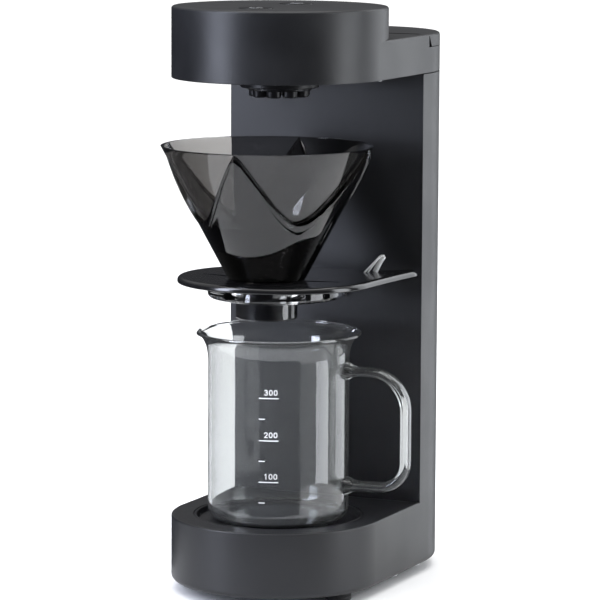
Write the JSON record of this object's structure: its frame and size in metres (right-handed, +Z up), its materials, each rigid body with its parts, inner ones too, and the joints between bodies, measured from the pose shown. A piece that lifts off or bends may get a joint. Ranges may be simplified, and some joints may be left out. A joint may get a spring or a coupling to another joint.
{
  "type": "coffee brewer",
  "caption": "Single-column pour-over coffee brewer with round head, spray head, smoke cone dripper on a clear holder, and a handled glass beaker on the foot",
  "frame": {"origin": "middle of the footprint of the whole part, on the surface that its feet rest on", "axes": "+Z up, -Y towards the user, where the spray head and the beaker are, +X to the user's right, the side of the beaker's handle"},
  "size_m": [0.1336, 0.2062, 0.322],
  "materials": {
    "body_satin_black": "satin",
    "body_dark": "matt",
    "clear_glass": "polished borosilicate glass",
    "clear_plastic": "clear plastic",
    "smoke_plastic": "transparent smoke-black plastic",
    "rubber": "matt",
    "silicone": "matt silicone",
    "steel": "brushed",
    "aluminium": "cast",
    "board": "solder-masked board",
    "white_plastic": "matt"
  },
  "bodies": {
    "machine": {"main_casing": "body_satin_black", "base_plate": "body_dark", "base_screw_1": "steel", "base_screw_2": "steel", "base_screw_3": "steel", "base_screw_4": "steel", "foot_1": "rubber", "foot_2": "rubber", "foot_3": "rubber", "foot_4": "rubber", "beaker_seat": "body_dark", "head_shell": "body_satin_black", "head_cover": "body_satin_black", "head_screw_1": "steel", "head_screw_2": "steel", "spray_head": "body_dark", "spray_manifold": "white_plastic", "riser_hose": "silicone", "control_board": "board", "lid_hinge_pin": "steel", "water_tank": "clear_plastic", "tank_strainer": "white_plastic", "check_valve": "white_plastic", "pump_housing": "body_dark", "pump_cover": "body_dark", "pump_motor": "steel", "suction_hose": "silicone", "heater_block": "aluminium", "heater_bracket": "steel", "thermostat": "steel", "thermal_fuse": "white_plastic", "feed_hose": "silicone", "power_board": "board", "cable_gland": "rubber", "dripper_holder": "clear_plastic", "holder_screw_1": "steel", "holder_screw_2": "steel"},
    "lid": {"tank_lid": "body_satin_black", "lid_seal": "silicone"},
    "start_button": {"start_key": "body_dark"},
    "cup_button": {"cup_key": "body_dark"},
    "impeller": {"pump_impeller": "white_plastic"},
    "dripper": {"dripper_brim": "smoke_plastic", "dripper_cone": "smoke_plastic", "dripper_spout": "body_dark", "dripper_collar": "clear_plastic", "dripper_grip": "smoke_plastic"},
    "beaker": {"beaker_body": "clear_glass", "beaker_handle": "clear_glass"}
  },
  "joints": [
    {"name": "tank_lid_hinge", "type": "hinge", "parent": "machine", "child": "lid", "pos_m": [-0.00778, 0.03907, 0.305], "axis": [1, 0, 0], "range_deg": [0, 95]},
    {"name": "start_key_press", "type": "slide", "parent": "machine", "child": "start_button", "axis": [0, 0, -1], "range_m": [0, 0.001]},
    {"name": "cup_key_press", "type": "slide", "parent": "machine", "child": "cup_button", "axis": [0, 0, -1], "range_m": [0, 0.001]},
    {"name": "pump_impeller_spin", "type": "hinge", "parent": "machine", "child": "impeller", "pos_m": [0.01622, 0.06507, 0.06], "axis": [0, 0, 1], "continuous": true},
    {"name": "dripper_lift", "type": "slide", "parent": "machine", "child": "dripper", "axis": [0, 0, 1], "range_m": [0, 0.024]},
    {"name": "beaker_out", "type": "slide", "parent": "machine", "child": "beaker", "axis": [0, -0.9703, 0.2419], "range_m": [0, 0.034]}
  ]
}
